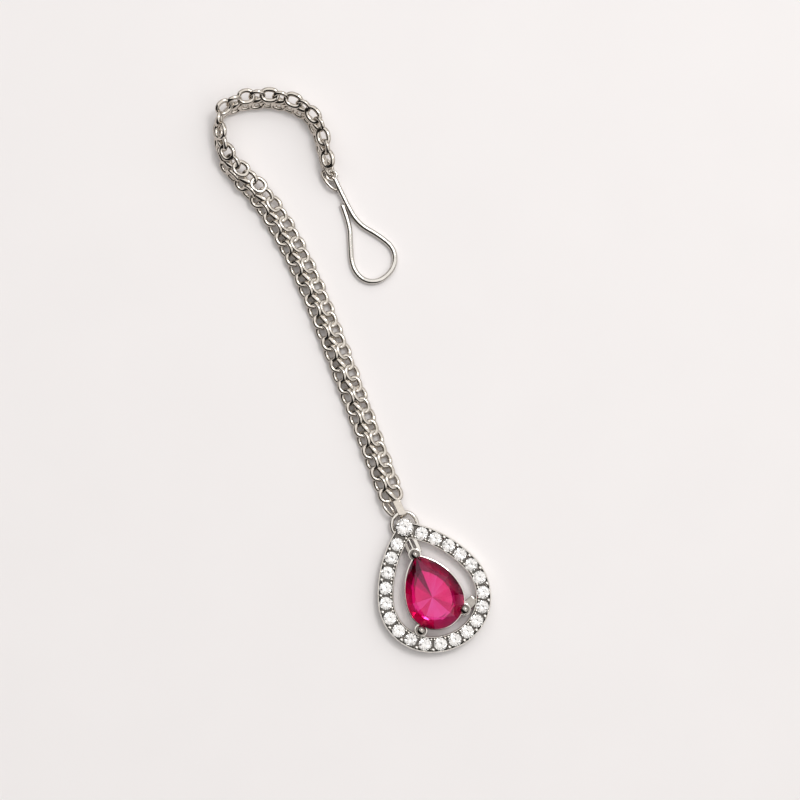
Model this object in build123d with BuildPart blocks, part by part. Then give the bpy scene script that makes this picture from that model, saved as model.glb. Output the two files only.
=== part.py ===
"""Maang tikka: a paved pear pendant on a double chain, with a wire hook for the hair.

Millimetres, +Z up. The ornament lies on its back on the plane Z = 0, its pendant towards -Y and its
chain running towards +Y, and the origin is under the middle of its bounding box.
"""

from build123d import *

import os
from math import acos, cos, degrees, radians, sin, tan

# The pendant's own frame: the centre of its round end, and how far its point leans from +Y
PENDANT_X = 14.4
PENDANT_Y = -39.4
PENDANT_LEAN = 24.3
PENDANT = Plane(Location((PENDANT_X, PENDANT_Y, 0), (0, 0, PENDANT_LEAN)))

# Halo: its line of stone centres is three tangent arcs a side, from the bottom up to the point
HALO_BOTTOM = -8.47
BOTTOM_RADIUS = 9.8
BOTTOM_ANGLE = 27
SIDE_RADIUS = 7.97
SIDE_ANGLE = 83
SHOULDER_RADIUS = 19.6
HALO_WIDTH = 2.84
HALO_HEIGHT = 2.05
HALO_FLOOR = 1.6
RIM_WIDTH = 0.3
HALO_CHAMFER = 0.25

# Seats of the small stones, evenly spaced along that line on both sides of the bottom one
SEATS_A_SIDE = 10
SEAT_PITCH = 2.66
SEAT_RADIUS = 1.0
SEAT_HOLE_RADIUS = 0.45
SEAT_ANGLE = 82

# Pear stone: its girdle is a round end, two side arcs and a small arc at the point
PEAR_U = -0.3
PEAR_V = -0.8
PEAR_END_RADIUS = 5.3
PEAR_END_ANGLE = 95
PEAR_SIDE_RADIUS = 11.0
PEAR_TIP_RADIUS = 1.2
PEAR_CULET_V = 0.9
PEAR_FACETS = 20

# Sections of each stone from its culet up, as height and share of the girdle's outline
PEAR_CUT = [
    {"height": 0.35, "share": 0.03},
    {"height": 2.90, "share": 1.00},
    {"height": 3.15, "share": 1.00},
    {"height": 4.45, "share": 0.66},
]
TOP_CUT = [
    {"height": 1.00, "share": 0.06},
    {"height": 2.05, "share": 1.00},
    {"height": 2.20, "share": 1.00},
    {"height": 2.75, "share": 0.60},
]
TOP_STONE_RADIUS = 1.5
TOP_STONE_FACETS = 16
TOP_STONE_V = 13.0
STONE_CLEARANCE = 0.03

# Gallery rail under the pear's girdle, measured from the girdle's outline
RAIL_OUT = 0.1
RAIL_IN = 0.55
RAIL_BOTTOM = 1.5
RAIL_HEIGHT = 1.0

# Three ball prongs on collars, at the pear's point, at its right and at its lower left
PRONGS = [(-0.08, 8.01), (4.03, -4.69), (-4.92, -4.96)]
BALL_RADIUS = 0.8
BALL_HEIGHT = 3.5
POST_RADIUS = 0.5
COLLAR_RADIUS = 1.07
COLLAR_BOTTOM = 1.2
COLLAR_HEIGHT = 1.2

# Arms: the right collar's out to the halo, the left one's in under the stone, and the neck's bars
ARM_BOTTOM = 1.0
ARM_HEIGHT = 0.95
RIGHT_ARM_WIDTH = 1.9
RIGHT_ARM_LENGTH = 2.75
RIGHT_ARM_ANGLE = 20
LEFT_ARM_WIDTH = 2.2
LEFT_ARM_LENGTH = 1.2
LEFT_ARM_ANGLE = 45
NECK_BAR_WIDTH = 0.55
NECK_BAR_LENGTH = 2.7
NECK_BAR_U = 0.85
NECK_BAR_V = 9.3
NECK_BAR_SPLAY = 16

# Cup of the round stone and the bail ring that passes round it
CUP_RADIUS = 1.65
CUP_HEIGHT = 2.1
CUP_HOLE_RADIUS = 0.7
BAIL_U = 0.2
BAIL_V = 13.37
BAIL_RADIUS = 2.27
BAIL_WIRE = 0.65
WIRE_HEIGHT = 0.95

# Strap of folded strip, round the wire of the last chain link and the wire of the bail ring
STRAP_CHAIN_END = (7.75, -23.13)
STRAP_BAIL_END = (8.63, -25.08)
STRAP_THICKNESS = 0.28
STRAP_BORE = 0.86
STRAP_WIDTH = 1.2

# Chain: a flat bar whose route is straight runs joined by arcs; it rolls onto its edge on the way
CHAIN_WIDTH = 4.6
CHAIN_THICKNESS = 1.9
CHAIN_EDGE = 0.8
CHAIN_ROLL = 68
CHAIN_FLAT_HEIGHT = 0.95
CHAIN_ROLLED_HEIGHT = 2.25
CHAIN_FLAT_ROUTE = [
    (6.9, -22.5), (4.7, -16.6), (1.3, -7.6), (-3.0, 3.9), (-7.1, 14.3), (-10.7, 21.9), (-14.1, 27.9),
    (-17.7, 32.5),
]
CHAIN_ROLLED_ROUTE = [
    (-17.7, 32.5), (-22.0, 36.5), (-23.2, 41.3), (-23.0, 46.0), (-18.9, 48.1), (-14.0, 48.2),
    (-9.8, 47.1), (-6.9, 44.5), (-5.7, 41.3), (-5.1, 38.1),
]

# Oval link between the chain's end and the hook's eye, given by the middles of its two end bends
LINK_CHAIN_END = (-5.07, 37.59)
LINK_HOOK_END = (-3.88, 34.87)
LINK_WIDTH = 2.2
LINK_WIRE = 0.5
LINK_ROLL = 50
LINK_HEIGHT = 1.03

# Hair hook: a flat eye and a bent wire whose free end comes to rest beside its shank
EYE_AT = (-3.85, 34.80)
EYE_RADIUS = 0.88
EYE_WIRE = 0.55
EYE_HEIGHT = 1.0
HOOK_WIRE = 0.8
HOOK_ROUTE = [
    (-3.3, 34.2, 1.0), (-1.1, 29.5, 0.85), (0.9, 26.2, 0.5), (4.5, 24.2, 0.42), (7.3, 21.9, 0.4),
    (7.5, 18.3, 0.4), (4.9, 15.6, 0.4), (1.9, 15.6, 0.4), (-0.2, 18.1, 0.4), (-0.5, 22.5, 0.4),
    (-0.6, 26.0, 0.4), (-1.9, 29.4, 0.4),
]
ARC_SHARE = 0.45


def polar(radius, angle):
    """The vector of that length at an angle in degrees from the x axis."""
    return Vector(radius * cos(radians(angle)), radius * sin(radians(angle)))


def draw_halo(margin):
    """Draws the halo's closed outline, moved out by margin from its line of stone centres."""
    bottom_centre = Vector(0, HALO_BOTTOM + BOTTOM_RADIUS)
    side_start = BOTTOM_ANGLE - 90
    side_centre = bottom_centre + polar(BOTTOM_RADIUS - SIDE_RADIUS, side_start)
    shoulder_start = side_start + SIDE_ANGLE
    shoulder_centre = side_centre + polar(SIDE_RADIUS - SHOULDER_RADIUS, shoulder_start)
    point_angle = degrees(acos(-shoulder_centre.X / (SHOULDER_RADIUS + margin)))
    CenterArc(bottom_centre, BOTTOM_RADIUS + margin, -90, BOTTOM_ANGLE)
    CenterArc(side_centre, SIDE_RADIUS + margin, side_start, SIDE_ANGLE)
    CenterArc(
        shoulder_centre, SHOULDER_RADIUS + margin, shoulder_start, point_angle - shoulder_start
    )


def draw_pear(margin):
    """Draws half of the pear's girdle, moved out by margin, from the bottom up to the point."""
    end_centre = Vector(0, PEAR_V)
    side_start = PEAR_END_ANGLE - 90
    side_centre = end_centre + polar(PEAR_END_RADIUS - PEAR_SIDE_RADIUS, side_start)
    reach = PEAR_SIDE_RADIUS - PEAR_TIP_RADIUS
    tip_start = degrees(acos(-side_centre.X / reach))
    tip_centre = side_centre + polar(reach, tip_start)
    CenterArc(end_centre, PEAR_END_RADIUS + margin, -90, PEAR_END_ANGLE)
    CenterArc(side_centre, PEAR_SIDE_RADIUS + margin, side_start, tip_start - side_start)
    CenterArc(tip_centre, PEAR_TIP_RADIUS + margin, tip_start, 90 - tip_start)


def halo_seats():
    """The plan points of the small stones' centres, in the pendant's frame."""
    with BuildLine() as half:
        draw_halo(0)
    wire = half.wires()[0]
    seats = [wire.position_at(0)]
    for number in range(1, SEATS_A_SIDE + 1):
        seat = wire.position_at(number * SEAT_PITCH, position_mode=PositionMode.LENGTH)
        seats += [seat, Vector(-seat.X, seat.Y)]
    return seats


def pear_corners():
    """The facet corners on the pear's girdle, evenly spaced from its bottom round both sides."""
    with BuildLine() as half:
        draw_pear(0)
    wire = half.wires()[0]
    per_side = PEAR_FACETS // 2
    right = [wire.position_at(number / per_side) for number in range(per_side + 1)]
    left = [Vector(-corner.X, corner.Y) for corner in reversed(right[1:-1])]
    return [Vector(corner.X + PEAR_U, corner.Y) for corner in right + left]


def round_corners(radius, count, centre):
    """The corners of a round stone's girdle about a plan point."""
    return [centre + polar(radius, 360 * number / count) for number in range(count)]


def cut_stone(corners, culet, cut, base, clearance=0):
    """A stone on a base plane, lofted through its cut, each section its girdle shrunk to the culet.

    With a clearance the stone is grown by that much all round, as a cutter for its seat.
    """
    with BuildPart() as stone:
        for row, growth in zip(cut, (-clearance, -clearance, clearance, clearance)):
            with BuildSketch(base.offset(row["height"] + growth)):
                with BuildLine():
                    Polyline(
                        *[culet + (corner - culet) * row["share"] * grown(corner, culet, clearance)
                          for corner in corners],
                        close=True,
                    )
                make_face()
        loft(ruled=True)
    return stone


def grown(corner, culet, clearance):
    """The factor that moves a corner out from the culet by the clearance."""
    return 1 + clearance / (corner - culet).length


def corner_radii(route):
    """The radius of the arc at each inner point of a route, as large as its two runs allow."""
    points = [Vector(*point) for point in route]
    radii = []
    for before, here, after in zip(points, points[1:], points[2:]):
        turn = radians((here - before).get_angle(after - here))
        shorter = min((here - before).length, (after - here).length)
        radii.append(ARC_SHARE * shorter / tan(turn / 2))
    return radii


def level(route, height):
    """The route's plan points at one height."""
    return [(x, y, height) for x, y in route]


def across(point, heading, roll=0):
    """The plane across a route, its x axis to the right of the heading and raised by roll."""
    right = Vector(heading.Y, -heading.X, 0).normalized()
    x_dir = right * cos(radians(roll)) + Vector(0, 0, sin(radians(roll)))
    return Plane(point, x_dir=x_dir, z_dir=heading)


def middle(start, end):
    """The point halfway between two points."""
    return (Vector(*start) + Vector(*end)) / 2


def save(piece, name):
    """Labels a finished piece and writes it to a STEP file of its own."""
    piece.part.label = name
    export_step(piece.part, f"parts/{name}.step")
    print(name, "volume", round(piece.part.volume, 2))


os.makedirs("parts", exist_ok=True)

SEATS = halo_seats()
PEAR_CORNERS = pear_corners()
PEAR_CULET = Vector(PEAR_U, PEAR_V + PEAR_CULET_V)
TOP_CULET = Vector(0, TOP_STONE_V)
TOP_CORNERS = round_corners(TOP_STONE_RADIUS, TOP_STONE_FACETS, TOP_CULET)

pear_stone = cut_stone(PEAR_CORNERS, PEAR_CULET, PEAR_CUT, PENDANT)
top_stone = cut_stone(TOP_CORNERS, TOP_CULET, TOP_CUT, PENDANT)
pear_cutter = cut_stone(PEAR_CORNERS, PEAR_CULET, PEAR_CUT, Plane.XY, STONE_CLEARANCE)
top_cutter = cut_stone(TOP_CORNERS, TOP_CULET, TOP_CUT, Plane.XY, STONE_CLEARANCE)

# The setting: halo, rail, collars, arms, cup and bail ring, soldered into one
with BuildPart(PENDANT) as pendant_setting:
    # Halo, with a rim on each side of a channel
    with BuildSketch(PENDANT):
        for margin, mode in ((HALO_WIDTH / 2, Mode.ADD), (-HALO_WIDTH / 2, Mode.SUBTRACT)):
            with BuildLine():
                draw_halo(margin)
                mirror(about=Plane.YZ)
            make_face(mode=mode)
    extrude(amount=HALO_HEIGHT)
    chamfer(pendant_setting.faces().sort_by(Axis.Z)[0].outer_wire().edges(), HALO_CHAMFER)
    channel_half = HALO_WIDTH / 2 - RIM_WIDTH
    with BuildSketch(PENDANT.offset(HALO_FLOOR)):
        for margin, mode in ((channel_half, Mode.ADD), (-channel_half, Mode.SUBTRACT)):
            with BuildLine():
                draw_halo(margin)
                mirror(about=Plane.YZ)
            make_face(mode=mode)
    extrude(amount=HALO_HEIGHT - HALO_FLOOR, mode=Mode.SUBTRACT)

    # Rail under the pear's girdle
    with BuildSketch(PENDANT.offset(RAIL_BOTTOM)):
        for margin, mode in ((RAIL_OUT, Mode.ADD), (-RAIL_IN, Mode.SUBTRACT)):
            with Locations((PEAR_U, 0)):
                with BuildSketch(mode=Mode.PRIVATE) as pear_outline:
                    with BuildLine():
                        draw_pear(margin)
                        mirror(about=Plane.YZ)
                    make_face()
                add(pear_outline.sketch, mode=mode)
    extrude(amount=RAIL_HEIGHT)

    # Collars, posts and balls
    with BuildSketch(PENDANT.offset(COLLAR_BOTTOM)):
        with Locations(*PRONGS):
            Circle(COLLAR_RADIUS)
    extrude(amount=COLLAR_HEIGHT)
    with BuildSketch(PENDANT.offset(COLLAR_BOTTOM)):
        with Locations(*PRONGS):
            Circle(POST_RADIUS)
    extrude(amount=BALL_HEIGHT - COLLAR_BOTTOM)
    with Locations(*[(u, v, BALL_HEIGHT) for u, v in PRONGS]):
        Sphere(BALL_RADIUS)

    # One arm at each lower prong, and two splayed bars at the neck
    with BuildSketch(PENDANT.offset(ARM_BOTTOM)):
        with Locations(PRONGS[1]):
            Rectangle(
                RIGHT_ARM_LENGTH, RIGHT_ARM_WIDTH, rotation=RIGHT_ARM_ANGLE,
                align=(Align.MIN, Align.CENTER),
            )
        with Locations(PRONGS[2]):
            Rectangle(
                LEFT_ARM_LENGTH, LEFT_ARM_WIDTH, rotation=LEFT_ARM_ANGLE,
                align=(Align.MIN, Align.CENTER),
            )
        for side in (-1, 1):
            with Locations((PRONGS[0][0] + side * NECK_BAR_U, NECK_BAR_V)):
                Rectangle(NECK_BAR_WIDTH, NECK_BAR_LENGTH, rotation=-side * NECK_BAR_SPLAY)
    extrude(amount=ARM_HEIGHT)

    # Cup of the round stone, and the bail ring
    with BuildSketch(PENDANT):
        with Locations((0, TOP_STONE_V)):
            Circle(CUP_RADIUS)
    extrude(amount=CUP_HEIGHT)
    with BuildSketch(PENDANT):
        with Locations((0, TOP_STONE_V)):
            Circle(CUP_HOLE_RADIUS)
    extrude(amount=CUP_HEIGHT, mode=Mode.SUBTRACT)
    with Locations((BAIL_U, BAIL_V, WIRE_HEIGHT)):
        Torus(BAIL_RADIUS, BAIL_WIRE / 2)

    # Seats of the small stones, then of the two large ones
    with Locations(*[(seat.X, seat.Y, HALO_FLOOR) for seat in SEATS]):
        CounterSinkHole(SEAT_HOLE_RADIUS, SEAT_RADIUS, counter_sink_angle=SEAT_ANGLE)
    add(pear_cutter.part, mode=Mode.SUBTRACT)
    add(top_cutter.part, mode=Mode.SUBTRACT)

# Strap: a closed loop of strip that stands on its edge plane along the line between the two wires
STRAP_LINE = Vector(*STRAP_BAIL_END) - Vector(*STRAP_CHAIN_END)
STRAP_PLANE = Plane(
    middle((*STRAP_CHAIN_END, WIRE_HEIGHT), (*STRAP_BAIL_END, WIRE_HEIGHT)),
    x_dir=STRAP_LINE,
    z_dir=(-STRAP_LINE.Y, STRAP_LINE.X, 0),
)
with BuildPart() as strap_link:
    with BuildSketch(STRAP_PLANE):
        SlotCenterToCenter(STRAP_LINE.length, STRAP_BORE + 2 * STRAP_THICKNESS)
        SlotCenterToCenter(STRAP_LINE.length, STRAP_BORE, mode=Mode.SUBTRACT)
    extrude(amount=STRAP_WIDTH / 2, both=True)

# Chain: flat as far as the middle of one run, rolled from the middle of the next
FLAT_POINTS = level(CHAIN_FLAT_ROUTE, CHAIN_FLAT_HEIGHT)
FLAT_POINTS[-1] = tuple(middle(FLAT_POINTS[-2], FLAT_POINTS[-1]))
ROLLED_POINTS = level(CHAIN_ROLLED_ROUTE, CHAIN_ROLLED_HEIGHT)
ROLLED_POINTS[0] = tuple(middle(ROLLED_POINTS[0], ROLLED_POINTS[1]))
with BuildLine() as flat_line:
    FilletPolyline(*FLAT_POINTS, radius=corner_radii(FLAT_POINTS))
with BuildLine() as rolled_line:
    FilletPolyline(*ROLLED_POINTS, radius=corner_radii(ROLLED_POINTS))
FLAT_START = across(flat_line.line @ 0, flat_line.line % 0)
FLAT_END = across(flat_line.line @ 1, flat_line.line % 1)
ROLLED_START = across(rolled_line.line @ 0, rolled_line.line % 0, CHAIN_ROLL)
with BuildPart() as chain:
    for start, line in ((FLAT_START, flat_line.line), (ROLLED_START, rolled_line.line)):
        with BuildSketch(start):
            RectangleRounded(CHAIN_WIDTH, CHAIN_THICKNESS, CHAIN_EDGE)
        sweep(path=line)
    for plane in (FLAT_END, ROLLED_START):
        with BuildSketch(plane) as chain_section:
            RectangleRounded(CHAIN_WIDTH, CHAIN_THICKNESS, CHAIN_EDGE)
    loft()

# End link: a round wire bent to an oval, rolled about its long axis
LINK_LINE = Vector(*LINK_HOOK_END) - Vector(*LINK_CHAIN_END)
LINK_BEND = (LINK_WIDTH - LINK_WIRE) / 2
LINK_STRAIGHT = LINK_LINE.length - 2 * LINK_BEND
LINK_PLANE = across(
    middle((*LINK_CHAIN_END, LINK_HEIGHT), (*LINK_HOOK_END, LINK_HEIGHT)),
    LINK_LINE.normalized(),
    LINK_ROLL,
)
OVAL_PLANE = Plane(LINK_PLANE.origin, x_dir=LINK_PLANE.z_dir, z_dir=LINK_PLANE.y_dir)
with BuildPart() as end_link:
    with BuildLine(OVAL_PLANE) as oval:
        Line((-LINK_STRAIGHT / 2, LINK_BEND), (LINK_STRAIGHT / 2, LINK_BEND))
        CenterArc((LINK_STRAIGHT / 2, 0), LINK_BEND, 90, -180)
        Line((LINK_STRAIGHT / 2, -LINK_BEND), (-LINK_STRAIGHT / 2, -LINK_BEND))
        CenterArc((-LINK_STRAIGHT / 2, 0), LINK_BEND, -90, -180)
    with BuildSketch(Plane(oval.line @ 0, z_dir=oval.line % 0)):
        Circle(LINK_WIRE / 2)
    sweep()

# Hair hook: one wire with a rounded free end, and its eye
with BuildPart() as hair_hook:
    with BuildLine() as hook_line:
        FilletPolyline(*HOOK_ROUTE, radius=corner_radii(HOOK_ROUTE))
    with BuildSketch(across(hook_line.line @ 0, hook_line.line % 0)) as hook_section:
        Circle(HOOK_WIRE / 2)
    sweep()
    with Locations(hook_line.line @ 1):
        Sphere(HOOK_WIRE / 2)
    with Locations((*EYE_AT, EYE_HEIGHT)):
        Torus(EYE_RADIUS, EYE_WIRE / 2)

save(pendant_setting, "pendant_setting")
save(pear_stone, "pear_stone")
save(top_stone, "top_stone")
save(strap_link, "strap_link")
save(chain, "chain")
save(end_link, "end_link")
save(hair_hook, "hair_hook")

# Each route's arc radii, and the volume of its section times its length; the chain's solid has the
# twist between its two routes besides, and the hook's its eye and its rounded end
for name, section, routes, lines in (
    ("chain", chain_section, (FLAT_POINTS, ROLLED_POINTS), (flat_line, rolled_line)),
    ("hair_hook", hook_section, (HOOK_ROUTE,), (hook_line,)),
):
    radii = [round(radius, 1) for route in routes for radius in corner_radii(route)]
    length = sum(edge.length for line in lines for edge in line.edges())
    print(name, "radii", radii, "length", round(length, 1))
    print(name, "section times length", round(section.sketch.area * length, 1))
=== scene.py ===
"""Looks of a maang tikka: a paved pear pendant on a double chain, with a wire hook for the hair.

Every class holds its sizes in millimetres in the row frame, and a mesh is turned to metres when its
piece is made. The ornament lies on its back on the plane Z = 0, its pendant towards -Y.
"""

import logging
import math
from dataclasses import dataclass, field
from enum import Enum
from typing import Callable, Sequence

import bpy
from bpy.types import Material, Mesh, Node, NodeSocket, NodeTree, Object
from mathutils import Matrix, Vector


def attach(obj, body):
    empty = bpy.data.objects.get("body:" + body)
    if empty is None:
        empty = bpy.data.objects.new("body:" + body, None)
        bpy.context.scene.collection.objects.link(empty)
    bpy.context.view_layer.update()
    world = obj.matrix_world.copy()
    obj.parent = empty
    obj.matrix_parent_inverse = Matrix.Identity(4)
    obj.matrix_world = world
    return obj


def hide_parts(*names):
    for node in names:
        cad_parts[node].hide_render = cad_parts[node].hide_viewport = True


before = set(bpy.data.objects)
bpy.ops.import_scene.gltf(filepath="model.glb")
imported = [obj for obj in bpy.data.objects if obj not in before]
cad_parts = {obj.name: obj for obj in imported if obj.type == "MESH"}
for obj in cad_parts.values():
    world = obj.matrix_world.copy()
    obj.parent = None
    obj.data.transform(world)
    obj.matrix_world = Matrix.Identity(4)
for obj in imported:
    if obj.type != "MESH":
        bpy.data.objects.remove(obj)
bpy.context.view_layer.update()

Pair = tuple[float, float]
Triple = tuple[float, float, float]
Quad = tuple[float, float, float, float]
Faces = list[tuple[int, ...]]

LOG = logging.getLogger("maang_tikka")
MM = 0.001
ROOT = "root"
UP = Vector((0, 0, 1))
BOTTOM_ANGLE = -90.0
WIRE_SIDES = 12
ROUTE_STEPS, ROUTE_ORDER = 24, 3
CLOUD_DETAIL, FINE_DETAIL = 2.0, 1.0
SWING_SEED = 7
NOISE_LOW, NOISE_HIGH = 0.3, 0.7
PRINCIPLED = "Principled BSDF"
FACET_PAINTED_LIGHT = "facet_tone"


class Slot(Enum):
    """The record's material slots."""

    SILVER = "rhodium_silver"
    RED = "red_stone"
    WHITE = "white_stone"


class Look(Enum):
    """The ornament's finishes."""

    PLATE = "polished plate"
    WARM = "warm plate"
    # A darker metal for the painted shade between the stones.
    RECESS = "cast recess"
    # A darker metal for the painted shade on the prong balls and arms.
    SHADE = "shaded plate"
    CLEAR = "clear stone"
    RUBY = "red stone"
    FOIL = "back foil"


class Side(Enum):
    """The chain's two rows of ovals, as their pieces are named."""

    LEFT = "left"
    RIGHT = "right"


# ---------------------------------------------------------------------------------------------
# Colours and nodes


def linear(code: str) -> Quad:
    """Turns an sRGB hex colour to linear light.

    Args:
        code: six hex digits after a #.

    Returns:
        Red, green, blue and an alpha of 1.
    """
    shares = [int(code[place : place + 2], 16) / 255 for place in (1, 3, 5)]
    low, high = 0.04045, 2.4
    return (*(s / 12.92 if s <= low else ((s + 0.055) / 1.055) ** high for s in shares), 1.0)


def add_node(
    tree: NodeTree, kind: str, values: dict | None = None, links: dict | None = None, **settings: object
) -> Node:
    """Adds one node with its settings, its constant inputs and its links.

    Args:
        tree: the tree that it goes in.
        kind: the node's type.
        values: constants by input name or number.
        links: by input name or number, the socket that feeds it, or the node whose first output does.
        settings: the node's own options.

    Returns:
        The new node.
    """
    node = tree.nodes.new(kind)
    for name, value in settings.items():
        setattr(node, name, value)
    for key, value in (values or {}).items():
        node.inputs[key].default_value = value
    for key, source in (links or {}).items():
        tree.links.new(source.outputs[0] if isinstance(source, Node) else source, node.inputs[key])
    return node


def start_material(name: str, constants: dict[str, object]) -> tuple[Material, NodeTree, NodeSocket]:
    """Starts a material on one Principled shader.

    Args:
        name: its name.
        constants: the shader's fixed inputs by name.

    Returns:
        The material, its tree, and the Object coordinates that its patterns read.
    """
    made = bpy.data.materials.new(name)
    made.use_nodes = True
    tree = made.node_tree
    for key, value in constants.items():
        tree.nodes[PRINCIPLED].inputs[key].default_value = value
    return made, tree, add_node(tree, "ShaderNodeTexCoord").outputs["Object"]


def feed(tree: NodeTree, key: str, source: NodeSocket) -> None:
    """Links a socket to an input of a material's Principled shader."""
    tree.links.new(source, tree.nodes[PRINCIPLED].inputs[key])


def cloud_colour(tree: NodeTree, place: NodeSocket, size: float, low: str, high: str) -> NodeSocket:
    """Colours a surface with two close tones, mixed by a slow noise.

    Args:
        tree: the material's tree.
        place: the coordinates that it reads.
        size: of its clouds, in millimetres.
        low: the colour where the noise is 0.
        high: the colour where it is 1.

    Returns:
        The noise.
    """
    scale = {"Scale": 1 / (size * MM), "Detail": CLOUD_DETAIL}
    noise = add_node(tree, "ShaderNodeTexNoise", scale, {"Vector": place})
    mixed = {6: linear(low), 7: linear(high)}
    tone = add_node(tree, "ShaderNodeMix", mixed, {0: noise}, data_type="RGBA")
    feed(tree, "Base Color", tone.outputs[2])
    return noise.outputs[0]


@dataclass(frozen=True)
class PolishedPlate:
    """Cast sterling silver, rhodium plated and buffed: a cool white mirror with faint buffing waves."""

    name: str = "rhodium_plate_white"
    bright: str = "#DAD6D0"
    shaded: str = "#CBC6BF"
    roughness: float = 0.03
    haze: float = 0.03
    wave: float = 0.7
    wave_depth: float = 0.002
    grain: float = 0.06
    grain_depth: float = 0.0003

    def material(self) -> Material:
        """Builds the metal: tone and haze from slow noise, relief from buffing waves and fine grain.

        Returns:
            The material.
        """
        made, tree, place = start_material(self.name, {"Metallic": 1.0})
        slow = cloud_colour(tree, place, self.wave, self.shaded, self.bright)
        span = {"From Min": NOISE_LOW, "From Max": NOISE_HIGH}
        dull = {"To Min": self.roughness, "To Max": self.roughness + self.haze}
        haze = add_node(tree, "ShaderNodeMapRange", {**span, **dull}, {"Value": slow})
        feed(tree, "Roughness", haze.outputs[0])
        wave = {"Strength": 1.0, "Distance": self.wave_depth * MM}
        waves = add_node(tree, "ShaderNodeBump", wave, {"Height": slow})
        grit = {"Scale": 1 / (self.grain * MM), "Detail": FINE_DETAIL}
        fine = add_node(tree, "ShaderNodeTexNoise", grit, {"Vector": place})
        grain = {"Strength": 1.0, "Distance": self.grain_depth * MM}
        relief = add_node(tree, "ShaderNodeBump", grain, {"Height": fine, "Normal": waves})
        feed(tree, "Normal", relief.outputs[0])
        return made


@dataclass(frozen=True)
class WarmPlate(PolishedPlate):
    """The same plate on drawn wire, thinner over the silver: a slightly warmer, softer mirror."""

    name: str = "rhodium_plate_warm"
    bright: str = "#D6CFC6"
    shaded: str = "#B8B0A6"
    roughness: float = 0.04


@dataclass(frozen=True)
class PaintedShadeRecess(PolishedPlate):
    """The same plate between the stones, made dark grey with a wide soft haze: painted shade for the
    recesses.
    """

    name: str = "rhodium_plate_recess"
    bright: str = "#7C7772"
    shaded: str = "#44413D"
    roughness: float = 0.25
    haze: float = 0.1


@dataclass(frozen=True)
class ShadedPlate(PolishedPlate):
    """The same plate on the prong balls and arms, made a mid grey mirror: painted shade, so that they show
    their form.
    """

    name: str = "rhodium_plate_shade"
    bright: str = "#B9B3AC"
    shaded: str = "#827C76"
    roughness: float = 0.05


@dataclass(frozen=True)
class CutStone:
    """Cubic zirconia, cut and polished: colourless, very bright, with a hard glitter and no bloom."""

    name: str = "cubic_zirconia"
    face: str = "#F2F0EE"
    veil: str = "#D4D0CC"
    depth: str = "#FFFFFF"
    ior: float = 2.15
    density: float = 0.0
    roughness: float = 0.0
    glare: str = "#FFFFFF"
    cloud: float = 1.5

    def material(self) -> Material:
        """Builds the stone: a faintly clouded clear face over a body that tints the light by its depth.

        Returns:
            The material.
        """
        constants = {"Transmission Weight": 1.0, "IOR": self.ior, "Roughness": self.roughness}
        made, tree, place = start_material(self.name, {**constants, "Specular Tint": linear(self.glare)})
        cloud_colour(tree, place, self.cloud, self.face, self.veil)
        if self.density:
            tint = {"Color": linear(self.depth), "Density": self.density / MM}
            body = add_node(tree, "ShaderNodeVolumeAbsorption", tint)
            tree.links.new(body.outputs[0], tree.nodes["Material Output"].inputs["Volume"])
        return made


@dataclass(frozen=True)
class SyntheticRuby(CutStone):
    """Synthetic ruby, cut and polished: clear raspberry red, deeper where the light's way through is long."""

    name: str = "synthetic_ruby"
    face: str = "#FFEEF6"
    veil: str = "#FFFFFF"
    depth: str = "#FC50DC"
    ior: float = 1.77
    density: float = 0.42
    glare: str = "#D8B0C8"


@dataclass(frozen=True)
class BackFoil:
    """Foil behind the pear stone: it sends the light back up, each facet in its own painted tone, painted
    light and shade for the stone's glints and dark facets.
    """

    name: str = "stone_foil"
    # The painted light, the middle tone and the painted shade of the facets.
    bright: str = "#FFC4E4"
    middle: str = "#F2148C"
    deep: str = "#30000E"
    polish: float = 0.45
    roughness: float = 0.07
    ripple: float = 1.4
    ripple_depth: float = 0.003

    def material(self) -> Material:
        """Builds the foil: its painted light and shade from the facets' own attribute, with a slight ripple
        as it was laid.

        Returns:
            The material.
        """
        made, tree, place = start_material(self.name, {"Metallic": self.polish, "Roughness": self.roughness})
        # The facets' painted light and shade, from the deepest to the palest.
        share = add_node(tree, "ShaderNodeAttribute", attribute_name=FACET_PAINTED_LIGHT).outputs["Fac"]
        tone = add_node(tree, "ShaderNodeValToRGB", links={0: share})
        stops = tone.color_ramp.elements
        stops[0].color, stops[1].color = linear(self.deep), linear(self.bright)
        stops.new(0.5).color = linear(self.middle)
        feed(tree, "Base Color", tone.outputs[0])
        wave = {"Scale": 1 / (self.ripple * MM), "Detail": FINE_DETAIL}
        slow = add_node(tree, "ShaderNodeTexNoise", wave, {"Vector": place})
        depth = {"Strength": 1.0, "Distance": self.ripple_depth * MM}
        feed(tree, "Normal", add_node(tree, "ShaderNodeBump", depth, {"Height": slow}).outputs[0])
        return made


@dataclass(frozen=True)
class PaleBoard:
    """Smooth uncoated card under the ornament: an even warm white with a barely seen mottle."""

    name: str = "pale_card"
    light: str = "#F5F1F0"
    dull: str = "#F2EEED"
    mottle: float = 18.0
    roughness: float = 0.9
    sheen: float = 0.1

    def material(self) -> Material:
        """Builds the card: matt, its two whites mixed by a wide noise.

        Returns:
            The material.
        """
        constants = {"Roughness": self.roughness, "Specular IOR Level": self.sheen}
        made, tree, place = start_material(self.name, constants)
        cloud_colour(tree, place, self.mottle, self.dull, self.light)
        return made


# ---------------------------------------------------------------------------------------------
# Meshes


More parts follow.
